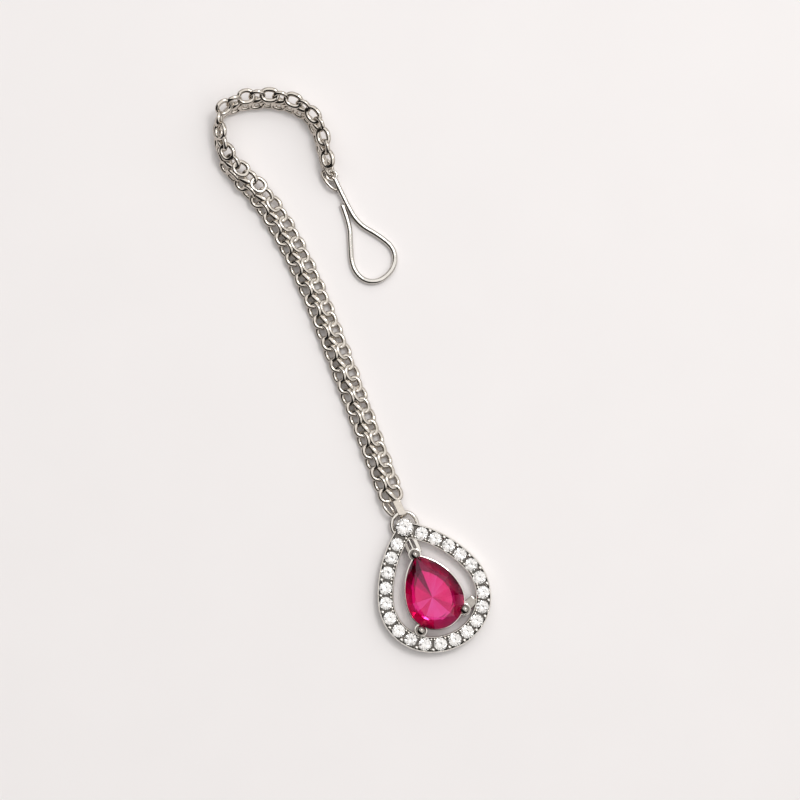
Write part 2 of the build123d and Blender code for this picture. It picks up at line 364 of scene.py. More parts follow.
@dataclass
class Shell:
    """Points and faces in millimetres, gathered until they become one piece."""

    points: list[Vector] = field(default_factory=list)
    faces: Faces = field(default_factory=list)

    def join(self, other: "Shell") -> None:
        """Adds all of another shell.

        Args:
            other: the shell, its faces anticlockwise from outside.
        """
        first = len(self.points)
        self.points += other.points
        self.faces += [tuple(first + corner for corner in face) for face in other.faces]

    def placed(self, place: Matrix) -> "Shell":
        """The same form, moved by a matrix."""
        return Shell([place @ point for point in self.points], self.faces)

    def mesh(self, name: str, smooth_to: float = 40.0) -> Mesh:
        """Makes the mesh, in metres.

        Args:
            name: its name.
            smooth_to: edges that turn less than this, in degrees, are shaded smooth; 0 leaves all flat.

        Returns:
            The mesh.
        """
        made = bpy.data.meshes.new(name)
        made.from_pydata([tuple(point * MM) for point in self.points], [], self.faces)
        made.validate()
        if smooth_to:
            made.shade_smooth()
            made.set_sharp_from_angle(angle=math.radians(smooth_to))
        made.update()
        return made

    def piece(self, name: str, *finishes: Material, smooth_to: float = 40.0) -> Object:
        """Makes the object and gives it its finishes.

        Args:
            name: the piece's name.
            finishes: its materials, the first on all faces.
            smooth_to: as for mesh.

        Returns:
            The object, linked to the scene.
        """
        made = link(bpy.data.objects.new(name, self.mesh(name, smooth_to)))
        for finish in finishes:
            made.data.materials.append(finish)
        return made


def link(thing: Object) -> Object:
    """Puts an object in the scene."""
    bpy.context.scene.collection.objects.link(thing)
    return thing


def remove(*things: Object) -> None:
    """Takes working objects out of the scene."""
    for thing in things:
        bpy.data.objects.remove(thing)


def evaluated(thing: Object) -> Mesh:
    """Makes a plain mesh of what an object's modifiers or curve give.

    Args:
        thing: the object.

    Returns:
        The mesh.
    """
    bpy.context.view_layer.update()
    graph = bpy.context.evaluated_depsgraph_get()
    return bpy.data.meshes.new_from_object(thing.evaluated_get(graph), depsgraph=graph)


def skin(rings: list[list[Vector]], around: bool) -> Shell:
    """Makes a surface through rings of equal count.

    Args:
        rings: rings of corners; each turns clockwise seen from the last ring back to the first.
        around: True if the last ring joins the first, False if the two end rings get a face each.

    Returns:
        The closed form.
    """
    count, sides = len(rings), len(rings[0])
    faces: Faces = []
    for row in range(count if around else count - 1):
        low, high = row * sides, (row + 1) % count * sides
        for side in range(sides):
            step = (side + 1) % sides
            faces.append((high + side, high + step, low + step, low + side))
    if not around:
        faces.append(tuple(range(sides)))
        faces.append(tuple(reversed(range((count - 1) * sides, count * sides))))
    return Shell([corner for ring in rings for corner in ring], faces)


def round_section(sides: int) -> list[Pair]:
    """The unit circle as section corners."""
    return [(math.cos(math.tau * side / sides), math.sin(math.tau * side / sides)) for side in range(sides)]


def strip_section(half_width: float, half_height: float, radius: float) -> list[Pair]:
    """A rounded rectangle as section corners, each as a share of its two halves.

    Args:
        half_width: half its size along x.
        half_height: half its size along y.
        radius: of its corners.

    Returns:
        The corners, anticlockwise.
    """
    across, tall, corners = radius / half_width, radius / half_height, 4
    made = []
    for turn, (x_sign, y_sign) in enumerate(((1, 1), (-1, 1), (-1, -1), (1, -1))):
        for step in range(corners):
            angle = math.tau / 4 * (turn + step / (corners - 1))
            x = x_sign * (1 - across) + across * math.cos(angle)
            made.append((x, y_sign * (1 - tall) + tall * math.sin(angle)))
    return made


@dataclass
class Wire:
    """A wire or strip that follows a line, its section held square to a reference direction."""

    line: list[Vector]
    sizes: list[Pair]
    closed: bool = True
    up: Triple = (0, 0, 1)
    section: list[Pair] = field(default_factory=lambda: round_section(WIRE_SIDES))

    def shell(self) -> Shell:
        """Sweeps the section along the line.

        Returns:
            The closed form.
        """
        rings = []
        count = len(self.line)
        for number, (point, (half_width, half_height)) in enumerate(zip(self.line, self.sizes)):
            before = self.line[number - 1] if self.closed or number else point
            after = self.line[(number + 1) % count] if self.closed or number < count - 1 else point
            heading = (after - before).normalized()
            side = heading.cross(Vector(self.up)).normalized()
            top = side.cross(heading)
            rings.append([point + side * x * half_width + top * y * half_height for x, y in self.section])
        return skin(rings, self.closed)


def round_wire(line: list[Vector], wire: float, sides: int = WIRE_SIDES) -> Shell:
    """A closed round wire of even thickness."""
    return Wire(line, [(wire / 2, wire / 2)] * len(line), section=round_section(sides)).shell()


def polar(radius: float, angle: float) -> Vector:
    """The plan vector of that length at an angle in degrees from the x axis."""
    return Vector((radius * math.cos(math.radians(angle)), radius * math.sin(math.radians(angle)), 0))


def circle(centre: Triple, radius: float, steps: int) -> list[Vector]:
    """The points of a level circle."""
    return [Vector(centre) + polar(radius, 360 * step / steps) for step in range(steps)]


def rounded(corners: list[Vector], steps: int) -> list[Vector]:
    """Draws a smooth closed line through corners.

    Args:
        corners: the points that it passes.
        steps: points made for each corner.

    Returns:
        The points of the line.
    """
    made = []
    count = len(corners)
    for number in range(count):
        a, b, c, d = (corners[(number + step) % count] for step in (-1, 0, 1, 2))
        for step in range(steps):
            t = step / steps
            bow = (2 * a - 5 * b + 4 * c - d) * t**2
            sway = (3 * b - 3 * c + d - a) * t**3
            made.append(0.5 * (2 * b + (c - a) * t + bow + sway))
    return made


def oval(length: float, width: float, wire: float, steps: int = 28) -> list[Vector]:
    """Draws the centre line of a wire oval that lies flat, its length along y.

    Args:
        length: over all along y.
        width: over all along x.
        wire: the wire's diameter.
        steps: points round it.

    Returns:
        The points of the line, anticlockwise from above.
    """
    # Full flanks, as a link pressed to its neighbours has
    fullness = 0.88
    half_width, half_length = (width - wire) / 2, (length - wire) / 2
    made = []
    for across, along in round_section(steps):
        x = math.copysign(half_width * abs(across) ** fullness, across)
        made.append(Vector((x, math.copysign(half_length * abs(along) ** fullness, along), 0)))
    return made


def turned(profile: Sequence[Pair], centre: Vector, sides: int) -> Shell:
    """Turns a form about an upright axis.

    Args:
        profile: radius and height from the bottom of the axis up; a first or last radius of 0 closes it,
            and so does a last corner that is the first.
        centre: where the axis stands.
        sides: faces round it.

    Returns:
        The closed form.
    """
    points: list[Vector] = []
    rows: list[list[int]] = []
    for radius, height in profile:
        if rows and (radius, height) == profile[0]:
            rows.append(rows[0])
        elif radius == 0:
            rows.append([len(points)] * sides)
            points.append(centre + Vector((0, 0, height)))
        else:
            rows.append(list(range(len(points), len(points) + sides)))
            points += [centre + Vector((radius * x, radius * y, height)) for x, y in round_section(sides)]
    faces = []
    for low, high in zip(rows, rows[1:]):
        for side in range(sides):
            step = (side + 1) % sides
            faces.append(tuple(dict.fromkeys((low[side], low[step], high[step], high[side]))))
    return Shell(points, [face for face in faces if len(face) > 2])


def dome(radius: float, height: float, flat: float = 1.0, rows: int = 6) -> list[Pair]:
    """Draws the profile of the upper half of a ball.

    Args:
        radius: the ball's radius.
        height: the height of its middle.
        flat: its height as a share of its radius.
        rows: steps from the middle to the pole.

    Returns:
        Radius and height, from the middle up.
    """
    turns = [math.tau / 4 * row / rows for row in range(rows)]
    made = [(radius * math.cos(turn), height + flat * radius * math.sin(turn)) for turn in turns]
    return [*made, (0, height + flat * radius)]


# ---------------------------------------------------------------------------------------------
# Geometry Nodes


def new_tree(name: str, sockets: dict[str, str]) -> tuple[NodeTree, dict[str, NodeSocket]]:
    """Starts a Geometry Nodes tree with named inputs and one geometry output.

    Args:
        name: the tree's name.
        sockets: the kind of each input by name.

    Returns:
        The tree, and its inputs' sockets by name.
    """
    tree = bpy.data.node_groups.new(name, "GeometryNodeTree")
    tree.interface.new_socket("Geometry", in_out="OUTPUT", socket_type="NodeSocketGeometry")
    for label, kind in sockets.items():
        tree.interface.new_socket(label, in_out="INPUT", socket_type="NodeSocket" + kind)
    given = add_node(tree, "NodeGroupInput").outputs
    return tree, {label: given[label] for label in sockets}


def end_tree(
    tree: NodeTree, points: Node | NodeSocket, part: Node, turn: Node, finish: NodeSocket
) -> NodeTree:
    """Ends a tree: a part on every point, as real meshes in their material.

    Args:
        tree: the tree.
        points: the node or socket that gives the points.
        part: the node that gives the part.
        turn: the node that gives each part's rotation.
        finish: the material's socket.

    Returns:
        The tree.
    """
    shape = part.outputs["Geometry"]
    sources = {"Points": points, "Instance": shape, "Rotation": turn}
    strung = add_node(tree, "GeometryNodeInstanceOnPoints", links=sources)
    real = add_node(tree, "GeometryNodeRealizeInstances", links={"Geometry": strung})
    dressed = add_node(tree, "GeometryNodeSetMaterial", links={"Geometry": real, "Material": finish})
    add_node(tree, "NodeGroupOutput", links={0: dressed})
    return tree


def link_tree() -> NodeTree:
    """Builds the tree that strings one kind of link along a route, a pitch apart, each with a little play.

    Returns:
        The tree.
    """
    sockets = {"Route": "Object", "Link": "Object", "Count": "Int", "Start": "Float", "Pitch": "Float"}
    more = {"Turnover": "Float", "Play": "Float", "Seed": "Int", "Finish": "Material"}
    tree, given = new_tree("string_links", {**sockets, **more})
    route = add_node(tree, "GeometryNodeObjectInfo", links={"Object": given["Route"]})
    part = add_node(tree, "GeometryNodeObjectInfo", {"As Instance": True}, {"Object": given["Link"]})
    points = add_node(tree, "GeometryNodePoints", links={"Count": given["Count"]})
    number = add_node(tree, "GeometryNodeInputIndex")
    terms = {0: number, 1: given["Pitch"], 2: given["Start"]}
    reach = add_node(tree, "ShaderNodeMath", links=terms, operation="MULTIPLY_ADD")
    tilt = add_node(tree, "GeometryNodeInputCurveTilt")
    sources = {"Curves": route.outputs["Geometry"], "Value": tilt, "Length": reach}
    sample = add_node(tree, "GeometryNodeSampleCurve", links=sources, mode="LENGTH", use_all_curves=True)
    spots = {"Geometry": points, "Position": sample.outputs["Position"]}
    placed = add_node(tree, "GeometryNodeSetPosition", links=spots)
    axes = {"primary_axis": "Y", "secondary_axis": "Z"}
    tangent = {"Primary Axis": sample.outputs["Tangent"]}
    level = add_node(tree, "FunctionNodeAxesToRotation", {"Secondary Axis": UP}, tangent, **axes)
    # Past the turnover the chain shows its other face, which is its roll less half a turn
    ends = {0: reach, 1: given["Turnover"]}
    past = add_node(tree, "ShaderNodeMath", links=ends, operation="GREATER_THAN")
    over = add_node(tree, "ShaderNodeMath", {1: math.pi}, {0: past}, operation="MULTIPLY")
    turns = {0: over, 1: sample.outputs["Value"]}
    angle = add_node(tree, "ShaderNodeMath", links=turns, operation="SUBTRACT")
    roll = add_node(tree, "FunctionNodeAxisAngleToRotation", {"Axis": (0, 1, 0)}, {"Angle": angle})
    least = add_node(tree, "ShaderNodeMath", {1: -1.0}, {0: given["Play"]}, operation="MULTIPLY")
    limits = {"Min": least, "Max": given["Play"], "ID": number}
    chance = "FunctionNodeRandomValue"
    sway = add_node(tree, chance, links={**limits, "Seed": given["Seed"]}, data_type="FLOAT")
    swing = add_node(tree, chance, {"Seed": SWING_SEED}, limits, data_type="FLOAT")
    play = add_node(tree, "ShaderNodeCombineXYZ", links={"Y": sway.outputs[1], "Z": swing.outputs[1]})
    turn = level
    for step in (roll, play):
        joined = {"Rotation": turn, "Rotate By": step}
        turn = add_node(tree, "FunctionNodeRotateRotation", links=joined, rotation_space="LOCAL")
    return end_tree(tree, placed, part, turn, given["Finish"])


def seat_tree() -> NodeTree:
    """Builds the tree that puts a stone or a bead on every point of a plan, each turned by chance.

    Returns:
        The tree.
    """
    sockets = {"Plan": "Object", "Part": "Object", "Turn": "Float", "Lean": "Float", "Seed": "Int"}
    tree, given = new_tree("fill_seats", {**sockets, "Finish": "Material"})
    plan = add_node(tree, "GeometryNodeObjectInfo", links={"Object": given["Plan"]})
    part = add_node(tree, "GeometryNodeObjectInfo", {"As Instance": True}, {"Object": given["Part"]})
    lean, turn = given["Lean"], given["Turn"]
    least = add_node(tree, "ShaderNodeMath", {1: -1.0}, {0: lean}, operation="MULTIPLY")
    low = add_node(tree, "ShaderNodeCombineXYZ", links={"X": least, "Y": least})
    high = add_node(tree, "ShaderNodeCombineXYZ", links={"X": lean, "Y": lean, "Z": turn})
    limits = {"Min": low, "Max": high, "Seed": given["Seed"]}
    chance = add_node(tree, "FunctionNodeRandomValue", links=limits, data_type="FLOAT_VECTOR")
    return end_tree(tree, plan.outputs["Geometry"], part, chance, given["Finish"])


def grow(name: str, tree: NodeTree, values: dict[str, object]) -> Object:
    """Runs a tree on an empty mesh and keeps what it makes as a plain mesh.

    Args:
        name: the piece's name.
        tree: the Geometry Nodes tree.
        values: the value of each of its inputs by name.

    Returns:
        The piece, linked to the scene, with no modifier.
    """
    carrier = link(bpy.data.objects.new(name + "_carrier", bpy.data.meshes.new(name)))
    modifier = carrier.modifiers.new("grow", "NODES")
    modifier.node_group = tree
    for socket in tree.interface.items_tree:
        if socket.item_type == "SOCKET" and socket.in_out == "INPUT":
            modifier[socket.identifier] = values[socket.name]
    made = evaluated(carrier)
    made.name = name
    remove(carrier)
    return link(bpy.data.objects.new(name, made))


def as_template(shell: Shell, name: str, smooth_to: float = 60.0) -> Object:
    """Makes an object that a tree repeats; it is removed once the tree has run."""
    return link(bpy.data.objects.new(name, shell.mesh(name, smooth_to)))


def nurbs_route(name: str, corners: tuple[Quad, ...]) -> Object:
    """Makes a route as one smooth spline.

    Args:
        name: the curve's name.
        corners: x, y and z of each control point in millimetres, and its roll in degrees.

    Returns:
        The curve object, with no bevel.
    """
    curve = bpy.data.curves.new(name, "CURVE")
    curve.dimensions = "3D"
    curve.twist_mode = "Z_UP"
    curve.resolution_u = ROUTE_STEPS
    spline = curve.splines.new("NURBS")
    spline.points.add(len(corners) - 1)
    for point, (x, y, z, roll) in zip(spline.points, corners):
        point.co = (x * MM, y * MM, z * MM, 1)
        point.tilt = math.radians(roll)
    spline.order_u = ROUTE_ORDER
    spline.use_endpoint_u = True
    return link(bpy.data.objects.new(name, curve))


def route_points(route: Object) -> list[Vector]:
    """Reads the points of a route's spline.

    Args:
        route: the curve object.

    Returns:
        The points, in millimetres.
    """
    mesh = evaluated(route)
    points = [vertex.co / MM for vertex in mesh.vertices]
    bpy.data.meshes.remove(mesh)
    return points


def route_length(points: list[Vector]) -> float:
    """The length of a line through points."""
    return sum((b - a).length for a, b in zip(points, points[1:]))


def settle(piece: Object, slot: Slot, *nodes: str) -> None:
    """Ties a finished piece to the frame and reports it.

    Args:
        piece: the piece, in place.
        slot: the record's slot that its finish comes from; not used.
        nodes: the CAD nodes that it stands for.
    """
    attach(piece, ROOT)
    if nodes:
        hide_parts(*nodes)
    LOG.info("%s: %d triangles", piece.name, sum(len(face.vertices) - 2 for face in piece.data.polygons))


# ---------------------------------------------------------------------------------------------
# Pendant


@dataclass(frozen=True)
class PearOutline:
    """A pear's plan outline: tangent arcs from its bottom up its right side to its point, and their mirror.

    Each arc is its radius and the angle at which it ends; the last ends on the pear's own axis.
    """

    bottom: float
    arcs: tuple[Pair, ...]
    steps: tuple[int, ...]
    axis: float = 0.0

    def centres(self) -> list[Vector]:
        """Finds the arcs' centres, with the pear's axis at x = 0.

        Returns:
            One centre for each arc.
        """
        made = [Vector((0, self.bottom + self.arcs[0][0], 0))]
        for (radius, end), (after, _) in zip(self.arcs, self.arcs[1:]):
            made.append(made[-1] + polar(radius - after, end))
        return made

    def half(self, margin: float) -> list[Vector]:
        """Draws the right half from the bottom to the point.

        Args:
            margin: how far it is moved out.

        Returns:
            Its points, the first and the last on the axis.
        """
        start = BOTTOM_ANGLE
        made = []
        for centre, (radius, end), count in zip(self.centres(), self.arcs, self.steps):
            reach = radius + margin
            if (radius, end) == self.arcs[-1]:
                end = math.degrees(math.acos(max(-1.0, min(1.0, -centre.x / reach))))
            made += [centre + polar(reach, start + (end - start) * step / count) for step in range(count)]
            start = end
        made.append(Vector((0, (centre + polar(reach, start)).y, 0)))
        return made

    def ring(self, margin: float) -> list[Vector]:
        """Draws the closed outline, anticlockwise from the bottom.

        Args:
            margin: how far it is moved out.

        Returns:
            Its points.
        """
        right = self.half(margin)
        left = [Vector((-point.x, point.y, 0)) for point in reversed(right[1:-1])]
        return [point + Vector((self.axis, 0, 0)) for point in right + left]

    def at(self, distance: float, margin: float = 0.0) -> Vector:
        """Finds a point by its way along the right half.

        Args:
            distance: along the outline from the bottom.
            margin: how far the point is then moved out square to it.

        Returns:
            The plan point.
        """
        start = BOTTOM_ANGLE
        left = distance
        for centre, (radius, end) in zip(self.centres(), self.arcs):
            angle = start + math.degrees(left / radius)
            if (radius, end) == self.arcs[-1] or angle <= end:
                return centre + polar(radius + margin, angle) + Vector((self.axis, 0, 0))
            left -= math.radians(end - start) * radius
            start = end
        raise ValueError("the outline has no arc")


def hoop(
    outline: PearOutline, section: tuple[Pair, ...], drawn: Callable[[Vector], Vector] = Vector
) -> Shell:
    """Makes a closed band of one section along a pear's outline.

    Args:
        outline: what it follows.
        section: the margin and the height of each of its corners.
        drawn: what moves its plan points; left out, they stay.

    Returns:
        The closed form.
    """
    rows = [[drawn(spot) + Vector((0, 0, high)) for spot in outline.ring(margin)] for margin, high in section]
    return skin([list(corners) for corners in zip(*rows)], True)


@dataclass(frozen=True)
class Bar:
    """A cast bar between two points, soft at its edges and drawn in a little at its two ends."""

    start: Triple
    end: Triple
    width: float
    height: float
    edge: float = 0.15
    steps: tuple[float, ...] = (0.0, 0.03, 0.12, 0.5, 0.88, 0.97, 1.0)
    swell: tuple[float, ...] = (0.8, 0.93, 1.0, 1.0, 1.0, 0.93, 0.8)

    def shell(self) -> Shell:
        """Sweeps the bar.

        Returns:
            The closed form.
        """
        half_width, half_height = self.width / 2, self.height / 2
        line = [Vector(self.start).lerp(Vector(self.end), step) for step in self.steps]
        sizes = [(half_width * share, half_height * share) for share in self.swell]
        return Wire(line, sizes, False, section=strip_section(half_width, half_height, self.edge)).shell()


@dataclass(frozen=True)
class Arm:
    """A bar from one of the prongs: the prong's number, its heading, its length and its width."""

    prong: int
    heading: float
    length: float
    width: float


@dataclass(frozen=True)
class BeadRow:
    """A row of raised beads: their radius, how far out they lie, and where in each gap between two stones."""

    name: str
    radius: float
    margin: float
    shifts: tuple[float, ...]


@dataclass
class Pendant:
    """The paved pear pendant: its setting, its centre stone, its round stone and its small stones.

    A section is the margin and the height of its corners; a profile is the radius and the height of its.
    """

    centre: Pair = (14.4, -39.4)
    lean: float = 24.3
    halo: PearOutline = PearOutline(-8.47, ((9.8, -63.0), (7.97, 20.0), (19.6, 90.0)), (14, 34, 40))
    halo_section: tuple[Pair, ...] = (
        (1.17, 0.0), (1.35, 0.09), (1.42, 0.28), (1.42, 1.76), (1.39, 1.93), (1.31, 2.03), (1.22, 2.04),
        (1.17, 1.97), (1.13, 1.78), (1.02, 1.45), (0.0, 1.35), (-1.02, 1.45), (-1.13, 1.78), (-1.17, 1.97),
        (-1.22, 2.04), (-1.31, 2.03), (-1.39, 1.93), (-1.42, 1.76), (-1.42, 0.12), (-1.34, 0.0),
    )
    # Section corners whose faces take the recess metal: painted shade between the stones.
    halo_floor: tuple[int, ...] = (8, 9, 10, 11)
    halo_smooth: float = 35.0
    narrowing: Pair = (0.056, 1.5)
    seats_a_side: int = 10
    seat_pitch: float = 2.66
    seat: tuple[Pair, ...] = ((0.0, -0.4), (0.45, -0.4), (0.45, 0.967), (1.1, 1.715), (1.1, 2.6), (0.0, 2.6))
    top_bore: tuple[Pair, ...] = ((0, -0.4), (1.66, -0.4), (1.66, 2.6), (0, 2.6))
    small_radius: float = 1.16
    small_girdle: float = 1.86
    small_lean: float = 0.11
    small_seed: int = 11
    any_turn: float = 6.28
    bead_rows: tuple[BeadRow, ...] = (
        BeadRow("outer", 0.42, 0.9, (0.0,)),
        BeadRow("inner", 0.3, -0.88, (-0.32, 0.32)),
    )
    bead_foot: float = 1.3
    bead_middle: float = 0.66
    bead_flat: float = 0.8
    bead_limit: float = 11.7
    bead_seed: int = 3
    rail: PearOutline = PearOutline(-6.1, ((5.3, 5.0), (11.0, 54.591), (1.2, 90.0)), (20, 20, 10), -0.3)
    rail_section: tuple[Pair, ...] = (
        (-0.12, 1.6), (-0.12, 2.35), (-0.16, 2.46), (-0.26, 2.5), (-0.5, 2.5), (-0.65, 2.42), (-0.7, 2.3),
        (-0.7, 1.65), (-0.63, 1.52), (-0.5, 1.5), (-0.22, 1.5),
    )
    pear_girdle: float = 3.025
    prongs: tuple[Pair, ...] = ((-0.36, 7.93), (3.63, -4.3), (-4.8, -4.5))
    post: tuple[Pair, ...] = ((0, 1.25), (0.5, 1.25), (0.5, 2.75))
    ball_radius: float = 0.93
    ball_height: float = 3.5
    collar: tuple[Pair, ...] = (
        (0, 1.2), (0.98, 1.2), (1.1, 1.3), (1.15, 1.5), (1.15, 2.27), (1.12, 2.37), (1.05, 2.4), (0.92, 2.4),
        (0.82, 2.3), (0.74, 2.0), (0.6, 1.85), (0, 1.8),
    )
    neck: tuple[Bar, ...] = (
        Bar((-0.2, 7.9, 1.5), (-0.2, 10.8, 1.5), 0.42, 0.95),
        Bar((0.75, 7.9, 1.5), (0.75, 10.8, 1.5), 0.75, 0.95),
    )
    # A bar in the darker metal: painted shade.
    shaded_neck: Bar = Bar((-1.05, 8.1, 1.5), (-1.05, 10.5, 1.5), 0.7, 0.8)
    arms: tuple[Arm, ...] = (Arm(1, 20.0, 2.75, 1.7), Arm(2, 45.0, 1.2, 2.2))
    arm_middle: float = 1.4
    arm_height: float = 0.8
    top_centre: Pair = (0.0, 13.0)
    top_radius: float = 1.5
    top_girdle: float = 2.08
    cup: tuple[Pair, ...] = (
        (0.7, 0.0), (1.55, 0.0), (1.65, 0.12), (1.65, 1.8), (1.6, 1.95), (1.5, 2.0), (1.42, 1.95),
        (1.0, 1.45), (0.7, 1.1), (0.7, 0.0),
    )
    claw: tuple[Pair, ...] = (
        (0, 1.2), (0.26, 1.2), (0.26, 2.25), (0.27, 2.35), (0.22, 2.5), (0.12, 2.58), (0, 2.6)
    )
    claw_angles: tuple[float, ...] = (20, 110, 200, 290)
    claw_reach: float = 1.5
    bail_centre: Triple = (0.2, 13.37, 0.95)
    bail_radius: float = 2.27
    bail_wire: float = 0.72
    small_sides: int = 14
    round_sides: int = 28
    collar_sides: int = 32
    wide_sides: int = 40
    bail_sides: tuple[int, int] = (64, 16)

    def place(self) -> Matrix:
        """The pendant's own frame, in millimetres."""
        turn = Matrix.Rotation(math.radians(self.lean), 4, "Z")
        return Matrix.Translation((*self.centre, 0)) @ turn

    def narrowed(self, spot: Vector) -> Vector:
        """Draws a plan point of the halo in on the right side, where the halo is a little narrower.

        Args:
            spot: the point of the even outline.

        Returns:
            The point of the true one.
        """
        share, start = self.narrowing
        right = max(0.0, spot.x)
        return spot - Vector((share * right * right / (right + start), 0, 0))

    def seats(self) -> list[Vector]:
        """Places the small stones, one at the bottom and then in pairs up the two sides.

        Returns:
            The plan points of their centres.
        """
        made = [self.halo.at(0)]
        for number in range(1, self.seats_a_side + 1):
            seat = self.halo.at(number * self.seat_pitch)
            made += [self.narrowed(seat), Vector((-seat.x, seat.y, 0))]
        return made

    def halo_band(self, polished: Material, recess: Material) -> Object:
        """Makes the band with its seats cut through.

        Args:
            polished: the metal of its rims and walls.
            recess: the darker, duller metal between the stones, its darkness painted shade.

        Returns:
            The piece.
        """
        rim = hoop(self.halo, self.halo_section, self.narrowed)
        band = rim.placed(self.place()).piece("halo_band", polished, recess)
        # The band's floor between the stones gets the darker metal: painted shade.
        for number, face in enumerate(band.data.polygons):
            face.material_index = int(number % len(self.halo_section) in self.halo_floor)
        drill = Shell()
        for seat in self.seats():
            drill.join(turned(self.seat, seat, self.round_sides))
        drill.join(turned(self.top_bore, Vector((*self.top_centre, 0)), self.wide_sides))
        cutter = as_template(drill.placed(self.place()), "seat_drill")
        for metal in (polished, recess):
            cutter.data.materials.append(metal)
        for face in cutter.data.polygons:
            face.material_index = 1
        cut = band.modifiers.new("seats", "BOOLEAN")
        cut.operation, cut.solver, cut.object = "DIFFERENCE", "EXACT", cutter
        made = evaluated(band)
        band.modifiers.clear()
        band.data = made
        made.shade_smooth()
        made.set_sharp_from_angle(angle=math.radians(self.halo_smooth))
        remove(cutter)
        return band

    def prong_work(self, polished: Material, shade: Material) -> Object:
        """Makes the balls on their posts, their collars and the neck's polished bars.

        Args:
            polished: the metal of the collars and the bars.
            shade: the darker metal of the balls, its darkness painted shade.

        Returns:
            The piece.
        """
        upper = dome(self.ball_radius, self.ball_height)
        lower = [(radius, 2 * self.ball_height - height) for radius, height in reversed(upper[1:-2])]
        made = Shell()
        balls: list[int] = []
        for prong in self.prongs:
            at = Vector((*prong, 0))
            first = len(made.faces)
            made.join(turned([*self.post, *lower, *upper], at, self.round_sides))
            balls += range(first, len(made.faces))
            made.join(turned(self.collar, at, self.collar_sides))
        for bar in self.neck:
            made.join(bar.shell())
        piece = made.placed(self.place()).piece("prong_work", polished, shade)
        # The balls get the darker metal: painted shade.
        for face in balls:
            piece.data.polygons[face].material_index = 1
        return piece

    def arm_work(self, shade: Material) -> Object:
        """Makes the two arms, from the lower prongs to the halo and the rail, and the neck's shaded bar.

        Args:
            shade: their metal, darkened as painted shade.

        Returns:
            The piece.
        """
        made = self.shaded_neck.shell()
        for arm in self.arms:
            start = Vector((*self.prongs[arm.prong], self.arm_middle))
            end = start + polar(arm.length, arm.heading)
            made.join(Bar(tuple(start), tuple(end), arm.width, self.arm_height).shell())
        return made.placed(self.place()).piece("cast_arms", shade)

    def stone_cup(self, polished: Material) -> Object:
        """Makes the cup of the round stone with its four claws, and the bail ring.

        Args:
            polished: their metal.

        Returns:
            The piece.
        """
        at = Vector((*self.top_centre, 0))
        made = turned(self.cup, at, self.wide_sides)
        for angle in self.claw_angles:
            made.join(turned(self.claw, at + polar(self.claw_reach, angle), self.small_sides))
        steps, sides = self.bail_sides
        made.join(round_wire(circle(self.bail_centre, self.bail_radius, steps), self.bail_wire, sides))
        return made.placed(self.place()).piece("cup_and_bail", polished)

    def filled(
        self, name: str, spots: list[Vector], part: Object, finish: Material, lean: float, seed: int
    ) -> Object:
        """Puts a form on every spot, turned by chance.

        Args:
            name: the piece's name.
            spots: where its forms go, in the pendant's own frame.
            part: the form; it is removed.
            finish: its material.
            lean: how far it may lean, in radians.
            seed: of its turns.

        Returns:
            The piece.
        """
        plan = as_template(Shell([self.place() @ spot for spot in spots]), name + "_plan", 0)
        inputs = {"Plan": plan, "Part": part, "Turn": self.any_turn, "Lean": lean, "Seed": seed}
        made = grow(name, seat_tree(), {**inputs, "Finish": finish})
        remove(plan, part)
        return made

    def beads(self, row: BeadRow, polished: Material) -> Object:
        """Makes the small raised beads of one row, which hold the stones.

        Args:
            row: the row.
            polished: their metal.

        Returns:
            The piece.
        """
        spots = []
        for number in range(self.seats_a_side + 1):
            for shift in row.shifts:
                spot = self.halo.at((number + 0.5) * self.seat_pitch + shift, row.margin)
                if spot.y < self.bead_limit:
                    pair = (Vector((side * spot.x, spot.y, self.bead_foot)) for side in (-1, 1))
                    spots += map(self.narrowed, pair)
        top = dome(row.radius, self.bead_middle, self.bead_flat, 5)
        bead = as_template(turned([(0, 0), (row.radius, 0), *top], Vector(), self.small_sides), "bead")
        return self.filled("bead_prongs_" + row.name, spots, bead, polished, 0.0, self.bead_seed)

    def small_stones(self, clear: Material) -> Object:
        """Makes the halo's small brilliant-cut stones.

        Args:
            clear: their finish.

        Returns:
            The piece.
        """
        spots = [seat + Vector((0, 0, self.small_girdle)) for seat in self.seats()]
        stone = as_template(Brilliant(self.small_radius).shell(), "stone", 0)
        return self.filled("pave_stones", spots, stone, clear, self.small_lean, self.small_seed)

    def round_stone(self, clear: Material) -> Object:
        """Makes the round stone at the halo's point.

        Args:
            clear: its finish.

        Returns:
            The piece.
        """
        lift = Matrix.Translation((*self.top_centre, self.top_girdle))
        stone = Brilliant(self.top_radius, rim_steps=2).shell()
        return stone.placed(self.place() @ lift).piece("round_stone", clear, smooth_to=0)

    def pear_stone(self, red: Material, foil: Material) -> Object:
        """Makes the centre stone, with foil on its back in its sectors' painted light and shade.

        Args:
            red: the stone's finish.
            foil: the finish of its back.

        Returns:
            The piece.
        """
        cut = PearCut()
        place = self.place() @ Matrix.Translation((0, 0, self.pear_girdle))
        made = cut.shell().placed(place).piece("pear_ruby", red, foil, smooth_to=0)
        # Each corner of the back gets its painted light and shade as an attribute.
        tones = made.data.attributes.new(FACET_PAINTED_LIGHT, "FLOAT", "CORNER")
        back = place.inverted()
        for face in made.data.polygons:
            middle = back @ (face.center / MM)
            face.material_index = int(middle.z < cut.girdle / 4)
            for corner in face.loop_indices:
                spot = made.data.vertices[made.data.loops[corner].vertex_index].co
                tones.data[corner].value = cut.tone(middle, back @ (spot / MM))
        return made

